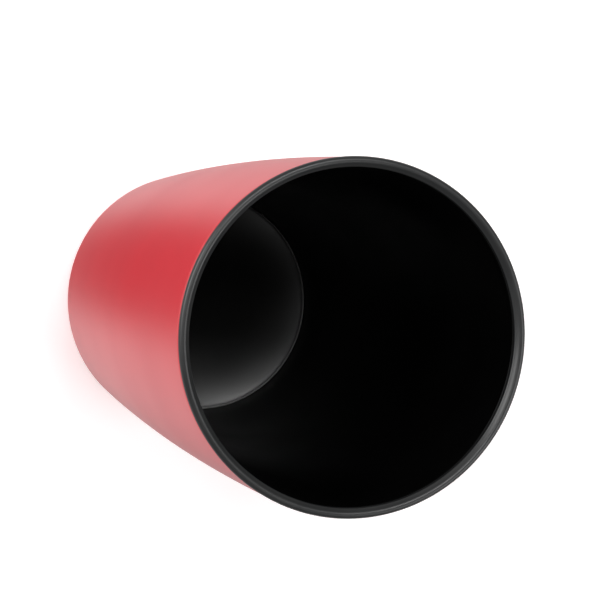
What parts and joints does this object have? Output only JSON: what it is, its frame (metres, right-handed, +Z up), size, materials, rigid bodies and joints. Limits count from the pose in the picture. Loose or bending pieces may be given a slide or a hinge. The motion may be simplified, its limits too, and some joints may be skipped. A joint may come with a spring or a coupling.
{
  "type": "juggling shaker cup",
  "caption": "Deep, round, barrel-tapered juggling cup with a red coated shell, a black liner, a soft rounded lip and a closed weighted base.",
  "frame": {"origin": "on the cup's axis, in the plane of the foot ring's resting face", "axes": "+Z up along the cup's axis, from the base towards the mouth; X and Y are any two level directions, because the cup is round"},
  "size_m": [0.092, 0.092, 0.169],
  "materials": {
    "red_coating": "satin",
    "black_liner": "satin",
    "lip_rubber": "satin",
    "pad_rubber": "satin",
    "cap_plastic": "matte",
    "foot_rubber": "matte",
    "zinc_steel": "satin",
    "cushion_foam": "matte",
    "insert_brass": "satin"
  },
  "bodies": {
    "root": {"outer_shell": "red_coating", "inner_liner": "black_liner", "lip_ring": "lip_rubber", "floor_pad": "pad_rubber", "base_cap": "cap_plastic", "foot_ring": "foot_rubber", "base_weight": "zinc_steel", "weight_cushion": "cushion_foam", "threaded_insert": "insert_brass", "base_screw": "zinc_steel"}
  },
  "joints": []
}
